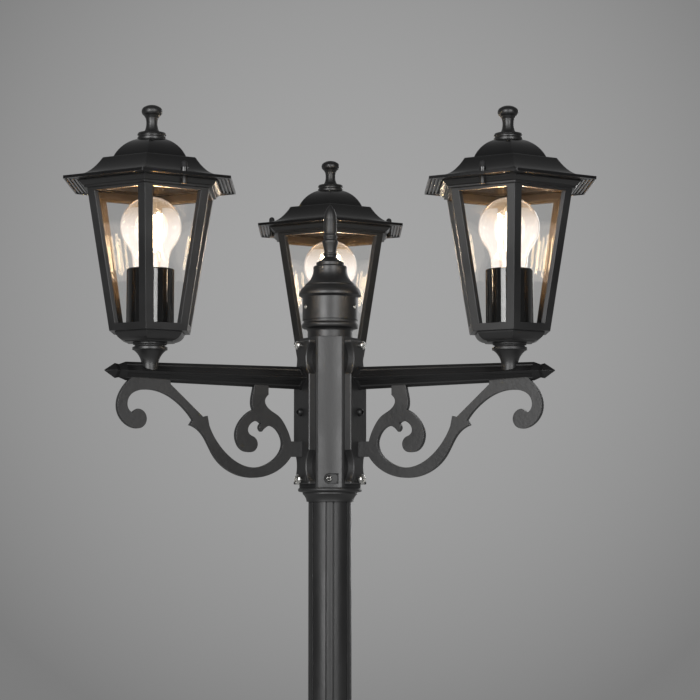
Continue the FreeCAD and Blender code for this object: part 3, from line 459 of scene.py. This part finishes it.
@dataclass(frozen=True)
class ClearGlass(Finish):
    """Clear glass that lets lamp light through, with a faint film; in a lit bulb it also carries a painted
    glow, though glass is no lamp.

    Between the heights of its span the painted glow fades to its rest, and the painted crown glow's colour
    takes its place.
    """

    name: str
    tint: Colour = (0.99, 0.99, 0.985)
    ior: float = 1.45
    speck_scale: float = 300.0
    film_roughness: float = 0.02
    # painted glow: the glass's emitted colour, its colour at the crown, its strength, heights and rest, and
    # the strength of the painted reflection glow
    glow: Colour | None = None
    crown: Colour = (0.0, 0.0, 0.0)
    glow_strength: float = 0.0
    glow_span: Span = UNIT
    glow_rest: float = 0.05
    echo: float = 0.0

    def paint(self, sheet: NodeSheet, effects: SharedEffects) -> None:
        """Glass with gloss from the film and painted glow by height; shadow and mirrored rays pass straight
        through.

        A mirrored ray also meets a painted glow that stands for the lit bulb's real brightness, which the
        camera sees toned down; it is a painted reflection of the bulb.

        Args:
            sheet: material's nodes.
            effects: shared node groups.
        """
        place = self.place(sheet)
        film = self.group(sheet, effects.film, Place=place, Speck_Scale=self.speck_scale).outputs["Film"]
        shader = sheet.add("ShaderNodeBsdfPrincipled", Base_Color=self.tint, Transmission_Weight=1.0,
                           IOR=self.ior, Roughness=sheet.ramp(film, UNIT, (0.0, self.film_roughness)))
        # painted glow: the glass emits light by height, fading towards the crown's colour higher up
        if self.glow:
            height = sheet.add("ShaderNodeSeparateXYZ", Vector=place).outputs["Z"]
            fade = sheet.ramp(height, self.glow_span, (1.0, self.glow_rest))
            sheet.feed(shader.inputs["Emission Color"], sheet.mix(fade, self.crown, self.glow))
            sheet.feed(shader.inputs["Emission Strength"], self.glow_strength)
        clear = sheet.add("ShaderNodeBsdfTransparent", Color=self.tint).outputs[0]
        # painted reflection: mirrored rays see the glass itself emitting the bulb's colour
        if self.echo:
            lit = sheet.add("ShaderNodeEmission", Color=self.glow, Strength=self.echo).outputs[0]
            clear = sheet.row("ShaderNodeAddShader", {}, clear, lit).outputs[0]
        path = sheet.add("ShaderNodeLightPath").outputs
        through = sheet.math("MAXIMUM", path["Is Shadow Ray"], path["Is Reflection Ray"])
        both = sheet.row("ShaderNodeMixShader", {}, through, shader.outputs[0], clear)
        self.close(sheet, both.outputs[0])


@dataclass(frozen=True)
class GlowingCoat(Finish):
    """Yellow coat of a lit filament, brightest along its middle."""

    name: str
    colour: Colour
    strength: float
    span: Span
    fade_length: float = 4.0 * MM
    end_share: float = 0.35
    deep_share: float = 0.7
    coat_deep: Colour = (0.7, 0.5, 0.1)
    coat_light: Colour = (0.9, 0.7, 0.2)
    roughness: float = 0.5
    pit_scale: float = 900.0

    def paint(self, sheet: NodeSheet, effects: SharedEffects) -> None:
        """Emission from the coat's grain, dimmer near both ends.

        Args:
            sheet: material's nodes.
            effects: shared node groups.
        """
        place, (low, high) = self.place(sheet), self.span
        tone = self.group(sheet, effects.grain, Place=place, Pit_Scale=self.pit_scale).outputs["Height"]
        height = sheet.add("ShaderNodeSeparateXYZ", Vector=place).outputs["Z"]
        start = sheet.ramp(height, (low, low + self.fade_length), (self.end_share, 1.0))
        stop = sheet.ramp(height, (high - self.fade_length, high), (1.0, self.end_share))
        bright = sheet.math("MULTIPLY", tone, sheet.math("MULTIPLY", start, stop))
        light = sheet.mix(bright, self.darker(self.colour, self.deep_share), self.colour)
        shader = sheet.add("ShaderNodeBsdfPrincipled", Roughness=self.roughness, Emission_Color=light,
                           Base_Color=sheet.mix(tone, self.coat_deep, self.coat_light),
                           Emission_Strength=self.strength)
        self.close(sheet, shader.outputs[0])


@dataclass(frozen=True)
class PaleGround(Finish):
    """Plain pale floor with a barely seen mottle."""

    name: str
    colour: Colour
    cloud_share: float = 0.96
    roughness: float = 0.8
    pit_scale: float = 80.0

    def paint(self, sheet: NodeSheet, effects: SharedEffects) -> None:
        """Even colour from the cloudy tone.

        Args:
            sheet: material's nodes.
            effects: shared node groups.
        """
        place = self.place(sheet)
        tone = self.group(sheet, effects.grain, Place=place, Pit_Scale=self.pit_scale).outputs["Tone"]
        mottle = sheet.mix(tone, self.darker(self.colour, self.cloud_share), self.colour)
        shader = sheet.add("ShaderNodeBsdfPrincipled", Base_Color=mottle, Roughness=self.roughness)
        self.close(sheet, shader.outputs[0])


class Surface:
    """Meshes worked out as whole arrays."""

    @staticmethod
    def strip(rows: np.ndarray) -> Skin:
        """Closed skin over rings of points: ring joins ring, and a fan to its middle closes each end ring.

        Args:
            rows: points, rings by points round a ring by 3.

        Returns:
            Points, quads and triangles, the first ring's fan before the last ring's.
        """
        rings, around, _ = rows.shape
        index = np.arange(rings * around).reshape(rings, around)
        ahead = np.roll(index, -1, axis=1)
        quads = np.stack([index[:-1], ahead[:-1], ahead[1:], index[1:]], axis=-1).reshape(-1, 4)
        middles = np.stack([rows[0].mean(0), rows[-1].mean(0)])
        first, last = rings * around, rings * around + 1
        low = np.stack([ahead[0], index[0], np.full(around, first)], axis=-1)
        high = np.stack([index[-1], ahead[-1], np.full(around, last)], axis=-1)
        return np.concatenate([rows.reshape(-1, 3), middles]), quads, np.concatenate([low, high])

    @staticmethod
    def lathe(profile: np.ndarray, around: int) -> np.ndarray:
        """Rings of a turned form: (radius, height) pairs carried round the upright axis.

        Args:
            profile: radius and height of each ring.
            around: points round a ring.

        Returns:
            Points, rings by points by 3.
        """
        angle = np.linspace(0.0, 2.0 * np.pi, around, endpoint=False)
        radius, height = profile[:, :1], profile[:, 1:]
        return np.stack([radius * np.cos(angle), radius * np.sin(angle), height + 0.0 * angle], axis=-1)

    @staticmethod
    def tube(path: np.ndarray, radius: float, around: int) -> np.ndarray:
        """Rings of a wire: a circle carried along a path, square to the path's direction.

        Args:
            path: points of the centre line.
            radius: wire's radius.
            around: points round the wire.

        Returns:
            Points, rings by points by 3.
        """
        ahead = np.gradient(path, axis=0)
        ahead /= np.linalg.norm(ahead, axis=1, keepdims=True)
        side = np.cross(ahead, np.cross([0.0, 0.0, 1.0], path[-1] - path[0]))
        side /= np.linalg.norm(side, axis=1, keepdims=True)
        other = np.cross(ahead, side)
        angle = np.linspace(0.0, 2.0 * np.pi, around, endpoint=False)[None, :, None]
        return path[:, None] + radius * (np.cos(angle) * side[:, None] + np.sin(angle) * other[:, None])

    @staticmethod
    def turn(points: np.ndarray, degrees: float) -> np.ndarray:
        """Points turned about the upright axis.

        Args:
            points: any array of points, with x, y and z last.
            degrees: angle, counted from +X to +Y.

        Returns:
            The turned points.
        """
        c, s = math.cos(math.radians(degrees)), math.sin(math.radians(degrees))
        matrix = np.array([[c, -s, 0.0], [s, c, 0.0], [0.0, 0.0, 1.0]])
        return points @ matrix.T

    @staticmethod
    def piece(name: str, skins: list[Skin], finish: bpy.types.Material,
              smooth: bool = True) -> bpy.types.Object:
        """Object made of several skins.

        Args:
            name: piece's name.
            skins: points, quads and triangles of each skin.
            finish: its material.
            smooth: shade smoothly.

        Returns:
            The linked object at the origin.
        """
        start = np.cumsum([0] + [len(points) for points, _, _ in skins])
        points = np.concatenate([points for points, _, _ in skins])
        quads = np.concatenate([quads + shift for (_, quads, _), shift in zip(skins, start)])
        tris = np.concatenate([tris + shift for (_, _, tris), shift in zip(skins, start)])
        mesh = bpy.data.meshes.new(name)
        mesh.vertices.add(len(points))
        mesh.vertices.foreach_set("co", points.astype(np.float32).ravel())
        corners = np.concatenate([quads.ravel(), tris.ravel()]).astype(np.int32)
        mesh.loops.add(len(corners))
        mesh.loops.foreach_set("vertex_index", corners)
        sizes = np.concatenate([np.full(len(quads), 4), np.full(len(tris), 3)])
        starts = np.concatenate([[0], np.cumsum(sizes)[:-1]]).astype(np.int32)
        mesh.polygons.add(len(sizes))
        mesh.polygons.foreach_set("loop_start", starts)
        mesh.polygons.foreach_set("use_smooth", np.full(len(sizes), smooth))
        mesh.update(calc_edges=True)
        mesh.validate()
        mesh.materials.append(finish)
        made = bpy.data.objects.new(name, mesh)
        bpy.context.scene.collection.objects.link(made)
        return made


@dataclass
class Castings:
    """Everything coated black, with its screws and nuts and the block inside the hub."""

    coat: Finish
    arm_coat: Finish
    cage_coat: Finish
    roof_coat: Finish
    knob_coat: Finish
    black_screw: Finish
    bright_screw: Finish
    plate: Finish
    block: Finish

    def dress(self, effects: SharedEffects) -> list[bpy.types.Object]:
        """Give each node the finish that its name's ending asks for, or else its slot's.

        Args:
            effects: shared node groups.

        Returns:
            The dressed nodes.
        """
        by_slot = {"black_casting": self.coat, "black_screw": self.black_screw,
                   "bright_screw": self.bright_screw, "terminal_plastic": self.block}
        by_ending = {"_arm": self.arm_coat, "lantern_cage": self.cage_coat, "lantern_bowl": self.cage_coat,
                     "lantern_roof": self.roof_coat, "roof_knobs": self.knob_coat, "stem_nuts": self.plate,
                     "cap_screws": self.plate}
        dressed = []
        for row in frame["record"]["subparts"]:
            own = [finish for ending, finish in by_ending.items() if row["node"].endswith(ending)]
            finish = own[0] if own else by_slot.get(row["material_slot"])
            if finish:
                dressed.append(dress(row["node"], finish.material(effects)))
        return dressed


@dataclass
class Lantern:
    """One lantern's clear panes, lamp holder and lit bulb.

    Heights in the bulb count from its foot, which stands on the cap. Angles round it count from the arm.
    """

    side: Side
    pane: Finish
    wall: Finish
    holder: Finish
    plate: Finish
    mount: Finish
    filament: Finish
    shell: tuple[str, ...] = ("lantern_cage", "lantern_bowl", "lantern_roof")  # lit from inside
    reach: float = 205.0 * MM
    foot: float = 1733.0 * MM + 96.0 * MM
    rise: float = 24.0 * MM
    length: float = 38.0 * MM
    count: int = 6
    circle: float = 10.0 * MM
    first_turn: float = 45.0  # degrees
    strip_radius: float = 1.3 * MM
    strip_tip: float = 0.06 * math.pi  # angle from the filament's axis to its smallest ring
    strip_rings: int = 7
    strip_around: int = 16
    rod_radius: float = 2.0 * MM
    rod_tip: float = 0.48 * math.pi  # angle above level to the rod's smallest ring
    rod_rings: int = 8
    flare_radius: float = 9.0 * MM
    flare_rings: int = 24
    mount_around: int = 32
    lead_radius: float = 0.35 * MM
    lead_rings: int = 9
    lead_around: int = 8
    low_arch: float = 0.6 * MM
    high_arch: float = 1.0 * MM
    high_drop: float = 1.5 * MM
    # heights over which the painted glow of the bulb wall and of the glass mount fades
    wall_fade: Span = (42.0 * MM, 72.0 * MM)
    mount_fade: Span = (24.0 * MM, 16.0 * MM)
    lamp_colour: Colour = (1.0, 0.44, 0.09)
    lamp_power: float = 1.05
    lamp_radius: float = 10.0 * MM

    @classmethod
    def heights(cls, span: Span) -> Span:
        """Heights in the bulb as heights above the ground."""
        return cls.foot + span[0], cls.foot + span[1]

    @property
    def centre(self) -> Vector:
        """Point on the bulb's axis, level with the middle of its filaments."""
        a, height = math.radians(self.side.value), self.foot + self.rise + self.length / 2
        return Vector((self.reach * math.cos(a), self.reach * math.sin(a), height))

    def _stand(self, rings: np.ndarray) -> Skin:
        """Skin over rings drawn about the bulb's axis from its foot up, moved to this lantern's place."""
        turned = Surface.turn(rings, self.side.value)
        return Surface.strip(turned + np.array([self.centre.x, self.centre.y, self.foot]))

    def _on_circle(self, rings: np.ndarray, number: int) -> np.ndarray:
        """Rings drawn towards the arm, turned to a filament's place on the circle."""
        return Surface.turn(rings, 360.0 / self.count * number + self.first_turn)

    def _mount_rings(self) -> np.ndarray:
        """Glass mount: a funnel whose radius falls with the cube of the height left, then a round-ended rod.

        Returns:
            Points, rings by points by 3.
        """
        share = np.linspace(0.0, 1.0, self.flare_rings)
        wide = self.flare_radius - self.rod_radius
        funnel = np.stack([self.rod_radius + wide * (1 - share) ** 3, share * self.rise], axis=1)
        top = self.rise + self.length - self.rod_radius
        bend = np.linspace(0.0, self.rod_tip, self.rod_rings)
        end = np.stack([self.rod_radius * np.cos(bend), top + self.rod_radius * np.sin(bend)], axis=1)
        return Surface.lathe(np.concatenate([funnel, end]), self.mount_around)

    def _strip_rings(self, number: int) -> np.ndarray:
        """One filament: an upright rod with quarter-circle ends, on the circle.

        Args:
            number: which filament, counted from 0.

        Returns:
            Points, rings by points by 3.
        """
        r, bend = self.strip_radius, np.linspace(self.strip_tip, 0.5 * np.pi, self.strip_rings)
        low = np.stack([r * np.sin(bend), r - r * np.cos(bend)], axis=1)
        high = np.stack([r * np.sin(bend[::-1]), self.length - r + r * np.cos(bend[::-1])], axis=1)
        rings = Surface.lathe(np.concatenate([low, high]), self.strip_around)
        return self._on_circle(rings + np.array([self.circle, 0.0, self.rise]), number)

    def _lead_rings(self, number: int, height: float, arch: float) -> np.ndarray:
        """One lead wire: from inside the mount to a filament's end on a parabola that rises by the arch.

        Args:
            number: which filament, counted from 0.
            height: height of the wire's two ends.
            arch: rise of its middle above them.

        Returns:
            Points, rings by points by 3.
        """
        share, inside = np.linspace(0.0, 1.0, self.lead_rings), 0.5 * self.rod_radius
        path = np.stack([inside + share * (self.circle - inside), 0.0 * share,
                         height + 4.0 * arch * share * (1.0 - share)], axis=1)
        return self._on_circle(Surface.tube(path, self.lead_radius, self.lead_around), number)

    def build(self, effects: SharedEffects) -> list[bpy.types.Object]:
        """Make the bulb's inside in place of its plain solid.

        Args:
            effects: shared node groups.

        Returns:
            The mount, the filaments and the leads.
        """
        word, numbers = self.side.word, range(self.count)
        low, high = self.rise + self.strip_radius, self.rise + self.length - self.strip_radius
        ends = ((low, self.low_arch), (high - self.high_drop, self.high_arch))
        skins = {
            "mount": [self._stand(self._mount_rings())],
            "filaments": [self._stand(self._strip_rings(n)) for n in numbers],
            "leads": [self._stand(self._lead_rings(n, z, arch)) for n in numbers for z, arch in ends],
        }
        finishes = {"mount": self.mount, "filaments": self.filament, "leads": self.plate}
        made = []
        for label, skin in skins.items():
            piece = Surface.piece(f"{word}_bulb_{label}", skin, finishes[label].material(effects))
            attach(piece, BODY)
            made.append(piece)
        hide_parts(f"{word}_bulb_filament")
        return made

    def dress(self, effects: SharedEffects) -> list[bpy.types.Object]:
        """Give the lantern's glass, holder and metal inner pieces their finishes.

        Args:
            effects: shared node groups.

        Returns:
            The dressed nodes.
        """
        finishes = {"lantern_panes": self.pane, "bulb_glass": self.wall, "lamp_holder": self.holder,
                    "bulb_cap": self.plate, "lantern_stem": self.plate}
        return [dress(f"{self.side.word}_{name}", finish.material(effects))
                for name, finish in finishes.items()]

    def light(self) -> None:
        """Set a warm lamp at the filaments, which lights only the shell of its own lantern."""
        word = self.side.word
        lamp = bpy.data.lights.new(f"{word}_bulb_light", "POINT")
        lamp.color, lamp.energy, lamp.shadow_soft_size = self.lamp_colour, self.lamp_power, self.lamp_radius
        made = bpy.data.objects.new(lamp.name, lamp)
        made.location = self.centre
        made.visible_transmission = False
        lit = bpy.data.collections.new(f"{word}_lantern_lit")
        for name in self.shell:
            lit.objects.link(frame["nodes"][f"{word}_{name}"])
        made.light_linking.receiver_collection = lit
        bpy.context.scene.collection.objects.link(made)


@dataclass(frozen=True)
class SoftBox:
    """One soft box: its name, where it stands, its width and height, and its watts."""

    name: str
    place: Point
    width: float
    height: float
    power: float


@dataclass
class Studio:
    """Floor, grey surroundings, soft boxes and camera.

    The spreads are versed sines of the angle from the backdrop's lightest spot, the heart.
    """

    ground: Finish
    floor_radius: float = 9.0
    floor_middle: float = 0.02
    floor_rings: int = 40
    floor_around: int = 96
    heart: Point = (0.0106, 0.993, 0.1184)
    middle_grey: float = 0.372
    corner_grey: float = 0.2
    corner_spread: float = 0.0295
    near_grey: float = 0.37
    far_grey: float = 0.05
    far_spread: float = 1.0
    squeeze: float = 2.5  # how much wider than high the mirrored backdrop is
    room_grey: float = 0.32
    boxes: tuple[SoftBox, ...] = (
        SoftBox("left_soft_box", (-0.9, -1.78, 2.05), 0.85, 1.4, 7.4),
        SoftBox("right_soft_box", (0.78, -1.84, 2.05), 0.65, 1.4, 4.9),
        SoftBox("rear_soft_box", (1.2, 2.35, 2.1), 0.8, 1.4, 3.0))
    box_target: Point = (0.0, 0.0, 1.7)
    grid_angle: float = math.radians(100.0)
    camera_place: Point = (0.003, -2.0602, 1.58605)
    camera_turn: Angles = (math.pi / 2 + 0.086, 0.0, -0.00857)
    sensor: float = 36.0
    lens: float = 102.36

    def floor(self, effects: SharedEffects) -> bpy.types.Object:
        """Round floor that faces up: rings of points, each a fixed share of the one outside it in radius.

        Args:
            effects: shared node groups.

        Returns:
            The floor.
        """
        radius = np.geomspace(self.floor_radius, self.floor_middle, self.floor_rings)
        rings = Surface.lathe(np.stack([radius, np.zeros(self.floor_rings)], axis=1), self.floor_around)
        points, quads, fans = Surface.strip(rings)
        floor = (points, quads, fans[self.floor_around:])  # without the fan across the outer ring
        made = Surface.piece("studio_floor", [floor], self.ground.material(effects), smooth=False)
        return made

    def _away(self, sheet: NodeSheet, look: Socket) -> Socket:
        """Versed sine of the angle between a direction and the backdrop's lightest spot."""
        return sheet.math("SUBTRACT", 1.0, sheet.dot(look, Vector(self.heart).normalized()))

    def surroundings(self) -> None:
        """Grey backdrop, lighter about one spot; mirrored, it is wider than high and fades to a dim room."""
        world = bpy.data.worlds.new("studio_grey")
        bpy.context.scene.world = world
        world.use_nodes = True
        world.cycles.sampling_method = "NONE"
        sheet = NodeSheet(world.node_tree)
        look = sheet.add("ShaderNodeTexCoord").outputs["Generated"]
        tall = sheet.row("ShaderNodeVectorMath", {"operation": "MULTIPLY"}, look, (1.0, 1.0, self.squeeze))
        wide = sheet.row("ShaderNodeVectorMath", {"operation": "NORMALIZE"}, tall.outputs[0])
        grey = sheet.ramp(self._away(sheet, look), (0.0, self.corner_spread),
                          (self.middle_grey, self.corner_grey), Fade.EVEN)
        dim = sheet.ramp(self._away(sheet, wide.outputs[0]), (0.0, self.far_spread),
                         (self.near_grey, self.far_grey), Fade.EVEN)
        path = sheet.add("ShaderNodeLightPath").outputs
        seen = sheet.math("MAXIMUM", path["Is Camera Ray"], path["Is Transmission Ray"])
        room = sheet.mix(path["Is Diffuse Ray"], dim, (self.room_grey,) * 3)
        back = sheet.add("ShaderNodeBackground", Color=sheet.mix(seen, room, grey))
        sheet.add("ShaderNodeOutputWorld", Surface=back.outputs[0])

    def soft_box(self, box: SoftBox) -> bpy.types.Object:
        """Area light that faces the lamp's head, with a grid that keeps its light off the floor.

        Args:
            box: which soft box.

        Returns:
            The light's object.
        """
        lamp = bpy.data.lights.new(box.name, "AREA")
        lamp.shape, lamp.size, lamp.size_y, lamp.energy = "RECTANGLE", box.width, box.height, box.power
        lamp.spread = self.grid_angle
        made = bpy.data.objects.new(box.name, lamp)
        made.location = box.place
        made.visible_camera = False
        made.visible_transmission = False
        facing = Vector(self.box_target) - Vector(box.place)
        made.rotation_euler = facing.to_track_quat("-Z", "Y").to_euler()
        bpy.context.scene.collection.objects.link(made)
        return made

    def camera(self) -> bpy.types.Object:
        """Camera where the photograph was taken from.

        Returns:
            The camera's object, set as the scene's camera.
        """
        eye = bpy.data.cameras.new("studio_camera")
        eye.sensor_width, eye.lens = self.sensor, self.lens
        made = bpy.data.objects.new("studio_camera", eye)
        made.location, made.rotation_euler = self.camera_place, self.camera_turn
        bpy.context.scene.collection.objects.link(made)
        bpy.context.scene.camera = made
        return made


def dress(name: str, material: bpy.types.Material) -> bpy.types.Object:
    """Make a material the only one on a CAD node's object.

    Args:
        name: CAD node's name.
        material: its finish.

    Returns:
        The node's object.
    """
    node = frame["nodes"][name]
    node.data.materials.clear()
    node.data.materials.append(material)
    return node


def main() -> None:
    """Dress the castings, build and dress the lanterns, set the stage, and report each piece."""
    logging.basicConfig(level=logging.INFO, format="%(name)s: %(message)s")
    bpy.context.scene.view_settings.view_transform = "Standard"
    effects = SharedEffects()
    nickel = BrightMetal("nickel_plate", (0.62, 0.6, 0.55), 0.25)
    castings = Castings(
        coat=PowderCoat("black_powder_coat"),
        arm_coat=PowderCoat("arm_powder_coat", roughness=0.32, specular=0.6, grain=0.3),
        cage_coat=PowderCoat("cage_powder_coat", roughness=0.33, grain=0.15),
        roof_coat=PowderCoat("roof_powder_coat", roughness=0.16, spread=0.06, grain=0.12),
        knob_coat=PowderCoat("knob_finish", (0.022, 0.022, 0.023), roughness=0.6, specular=0.3, grain=0.1),
        black_screw=PowderCoat("black_screw_finish", roughness=0.36, specular=0.5, grain=0.06,
                               edge_radius=0.3 * MM),
        bright_screw=BrightMetal("zinc_plate", (0.88, 0.87, 0.84), 0.12),
        plate=nickel,
        block=Moulding("cream_moulding", (0.75, 0.72, 0.62), 0.45))
    for node in castings.dress(effects):
        LOG.info("dressed %s", node.name)
    strip_span = (Lantern.rise, Lantern.rise + Lantern.length)
    inside: dict[str, Finish] = dict(
        pane=ClearGlass("pane_glass"),
        # painted glow: the bulb wall emits light by height and also emits in mirrored rays as a painted
        # reflection
        wall=ClearGlass("lit_bulb_glass", glow=(1.0, 0.87, 0.78), crown=(0.28, 0.15, 0.03),
                        glow_strength=0.195, glow_span=Lantern.heights(Lantern.wall_fade), echo=0.4),
        holder=Moulding("black_moulding", (0.006, 0.006, 0.006), 0.03, specular=1.0, ripple=0.0),
        plate=nickel,
        # painted glow: the glass mount emits warm light, fading with height
        mount=ClearGlass("mount_glass_painted_glow", glow=(1.0, 0.8, 0.5), glow_strength=3.0,
                         glow_span=Lantern.heights(Lantern.mount_fade)),
        filament=GlowingCoat("lit_filament", (1.0, 0.8, 0.58), 75.0, Lantern.heights(strip_span)))
    for side in Side:
        lantern = Lantern(side, **inside)
        for piece in lantern.build(effects):
            LOG.info("built %s", piece.name)
        for node in lantern.dress(effects):
            LOG.info("dressed %s", node.name)
        lantern.light()
    studio = Studio(PaleGround("pale_ground", (0.7, 0.7, 0.695)))
    LOG.info("laid %s", studio.floor(effects).name)
    studio.surroundings()
    for box in studio.boxes:
        LOG.info("hung %s", studio.soft_box(box).name)
    LOG.info("set %s", studio.camera().name)


if __name__ == "__main__":
    main()
